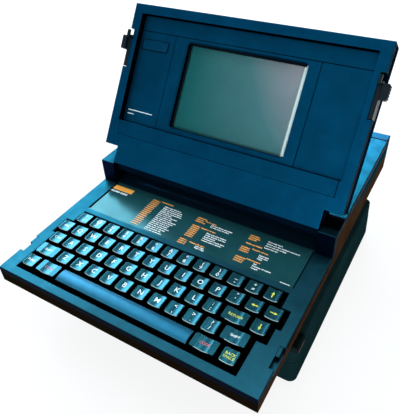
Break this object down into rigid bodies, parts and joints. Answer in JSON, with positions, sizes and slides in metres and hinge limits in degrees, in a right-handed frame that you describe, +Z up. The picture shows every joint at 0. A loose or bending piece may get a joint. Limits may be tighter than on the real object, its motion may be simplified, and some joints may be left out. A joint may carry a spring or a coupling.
{
  "type": "clamshell portable computer",
  "caption": "Clamshell portable computer with a tilting screen lid, full keyboard, sliding latches and a battery base unit beneath it.",
  "frame": {"origin": "middle of the footprint, on the surface that the feet stand on", "axes": "+X to the right of a person at the keyboard, -Y towards that person, +Z up"},
  "size_m": [0.3076, 0.3804, 0.2596],
  "materials": {
    "case_paint": "satin blue-black paint on a cast metal shell",
    "pan_paint": "satin brown-black paint on a cast metal shell",
    "panel_paint": "satin dark blue paint",
    "screen_glass": "smoked glass over the display",
    "display": "flat display panel",
    "circuit_board": "green board",
    "bronze": "oiled bush",
    "steel": "zinc plated steel",
    "black_steel": "black steel sheet",
    "latch_metal": "painted catch block",
    "latch_plastic": "ribbed black latch",
    "card": "printed reference card",
    "key_plastic": "textured double-shot key caps",
    "switch_plastic": "black moulded housing",
    "module_can": "shielding can",
    "supply_case": "potted power supply",
    "connector": "connector bodies",
    "dock_plastic": "dark moulded base unit",
    "rubber": "feet",
    "cell_jacket": "jacketed cells"
  },
  "bodies": {
    "case": {"base_pan": "pan_paint", "battery_cells": "cell_jacket", "case_feet": "rubber", "case_screws": "steel", "charger_board": "circuit_board", "dock_bottom": "dock_plastic", "dock_feet": "rubber", "dock_screws": "steel", "dock_top": "dock_plastic", "hinge_brackets": "steel", "hinge_pins": "steel", "key_plate": "black_steel", "key_switches": "switch_plastic", "keyboard_board": "circuit_board", "keyboard_deck": "case_paint", "latch_keepers": "latch_metal", "main_board": "circuit_board", "memory_module": "module_can", "modem_board": "circuit_board", "overlay_card": "card", "power_supply": "supply_case", "power_switch_body": "switch_plastic", "rear_cover": "case_paint", "rear_panel": "case_paint", "rear_ports": "connector"},
    "lid": {"lid_back_shell": "case_paint", "lid_bezel": "case_paint", "lid_lower_strip": "case_paint", "lid_panel_top": "panel_paint", "lid_panel_left": "panel_paint", "lid_panel_right": "panel_paint", "screen_surround": "panel_paint", "screen_glass": "screen_glass", "display_panel": "display", "driver_board": "circuit_board", "hinge_bushes": "bronze", "lid_screws": "steel"},
    "latch_left": {"latch_left": "latch_plastic"},
    "latch_right": {"latch_right": "latch_plastic"},
    "dock_catch_left": {"dock_catch_left": "dock_plastic"},
    "dock_catch_right": {"dock_catch_right": "dock_plastic"},
    "power_switch": {"power_switch": "switch_plastic"},
    "key_backspace": {"key_backspace": "key_plastic"},
    "key_code_left": {"key_code_left": "key_plastic"},
    "key_code_right": {"key_code_right": "key_plastic"},
    "key_control": {"key_control": "key_plastic"},
    "key_down": {"key_down": "key_plastic"},
    "key_escape": {"key_escape": "key_plastic"},
    "key_function": {"key_function": "key_plastic"},
    "key_left": {"key_left": "key_plastic"},
    "key_return": {"key_return": "key_plastic"},
    "key_right": {"key_right": "key_plastic"},
    "key_shift_left": {"key_shift_left": "key_plastic"},
    "key_shift_right": {"key_shift_right": "key_plastic"},
    "key_space": {"key_space": "key_plastic"},
    "key_up": {"key_up": "key_plastic"},
    "keys_home_letters": {"keys_home_letters": "key_plastic"},
    "keys_lower_letters": {"keys_lower_letters": "key_plastic"},
    "keys_number_row": {"keys_number_row": "key_plastic"},
    "keys_upper_letters": {"keys_upper_letters": "key_plastic"}
  },
  "joints": [
    {"name": "lid_hinge", "type": "hinge", "parent": "case", "child": "lid", "pos_m": [0, -0.0026, 0.0944], "axis": [1, 0, 0], "range_deg": [-5, 123.65]},
    {"name": "latch_left_slide", "type": "slide", "parent": "lid", "child": "latch_left", "axis": [0, 0.5541, 0.8324], "range_m": [0, 0.0065]},
    {"name": "latch_right_slide", "type": "slide", "parent": "lid", "child": "latch_right", "axis": [0, 0.5541, 0.8324], "range_m": [0, 0.0065]},
    {"name": "dock_catch_left_slide", "type": "slide", "parent": "case", "child": "dock_catch_left", "axis": [0, 1, 0], "range_m": [0, 0.005], "stiffness_N_per_m": 200},
    {"name": "dock_catch_right_slide", "type": "slide", "parent": "case", "child": "dock_catch_right", "axis": [0, 1, 0], "range_m": [0, 0.005], "stiffness_N_per_m": 200},
    {"name": "power_switch_rock", "type": "hinge", "parent": "case", "child": "power_switch", "pos_m": [0.114, 0.186, 0.0725], "axis": [0, 0, 1], "range_deg": [0, 16]},
    {"name": "key_backspace_press", "type": "slide", "parent": "case", "child": "key_backspace", "axis": [0, 0, -1], "range_m": [0, 0.0035], "stiffness_N_per_m": 120, "springref_m": -0.0012},
    {"name": "key_code_left_press", "type": "slide", "parent": "case", "child": "key_code_left", "axis": [0, 0, -1], "range_m": [0, 0.0035], "stiffness_N_per_m": 120, "springref_m": -0.0012},
    {"name": "key_code_right_press", "type": "slide", "parent": "case", "child": "key_code_right", "axis": [0, 0, -1], "range_m": [0, 0.0035], "stiffness_N_per_m": 120, "springref_m": -0.0012},
    {"name": "key_control_press", "type": "slide", "parent": "case", "child": "key_control", "axis": [0, 0, -1], "range_m": [0, 0.0035], "stiffness_N_per_m": 120, "springref_m": -0.0012},
    {"name": "key_down_press", "type": "slide", "parent": "case", "child": "key_down", "axis": [0, 0, -1], "range_m": [0, 0.0035], "stiffness_N_per_m": 120, "springref_m": -0.0012},
    {"name": "key_escape_press", "type": "slide", "parent": "case", "child": "key_escape", "axis": [0, 0, -1], "range_m": [0, 0.0035], "stiffness_N_per_m": 120, "springref_m": -0.0012},
    {"name": "key_function_press", "type": "slide", "parent": "case", "child": "key_function", "axis": [0, 0, -1], "range_m": [0, 0.0035], "stiffness_N_per_m": 120, "springref_m": -0.0012},
    {"name": "key_left_press", "type": "slide", "parent": "case", "child": "key_left", "axis": [0, 0, -1], "range_m": [0, 0.0035], "stiffness_N_per_m": 120, "springref_m": -0.0012},
    {"name": "key_return_press", "type": "slide", "parent": "case", "child": "key_return", "axis": [0, 0, -1], "range_m": [0, 0.0035], "stiffness_N_per_m": 120, "springref_m": -0.0012},
    {"name": "key_right_press", "type": "slide", "parent": "case", "child": "key_right", "axis": [0, 0, -1], "range_m": [0, 0.0035], "stiffness_N_per_m": 120, "springref_m": -0.0012},
    {"name": "key_shift_left_press", "type": "slide", "parent": "case", "child": "key_shift_left", "axis": [0, 0, -1], "range_m": [0, 0.0035], "stiffness_N_per_m": 120, "springref_m": -0.0012},
    {"name": "key_shift_right_press", "type": "slide", "parent": "case", "child": "key_shift_right", "axis": [0, 0, -1], "range_m": [0, 0.0035], "stiffness_N_per_m": 120, "springref_m": -0.0012},
    {"name": "key_space_press", "type": "slide", "parent": "case", "child": "key_space", "axis": [0, 0, -1], "range_m": [0, 0.0035], "stiffness_N_per_m": 120, "springref_m": -0.0012},
    {"name": "key_up_press", "type": "slide", "parent": "case", "child": "key_up", "axis": [0, 0, -1], "range_m": [0, 0.0035], "stiffness_N_per_m": 120, "springref_m": -0.0012},
    {"name": "keys_home_letters_press", "type": "slide", "parent": "case", "child": "keys_home_letters", "axis": [0, 0, -1], "range_m": [0, 0.0035], "stiffness_N_per_m": 250, "springref_m": -0.0012},
    {"name": "keys_lower_letters_press", "type": "slide", "parent": "case", "child": "keys_lower_letters", "axis": [0, 0, -1], "range_m": [0, 0.0035], "stiffness_N_per_m": 250, "springref_m": -0.0012},
    {"name": "keys_number_row_press", "type": "slide", "parent": "case", "child": "keys_number_row", "axis": [0, 0, -1], "range_m": [0, 0.0035], "stiffness_N_per_m": 250, "springref_m": -0.0012},
    {"name": "keys_upper_letters_press", "type": "slide", "parent": "case", "child": "keys_upper_letters", "axis": [0, 0, -1], "range_m": [0, 0.0035], "stiffness_N_per_m": 250, "springref_m": -0.0012}
  ]
}
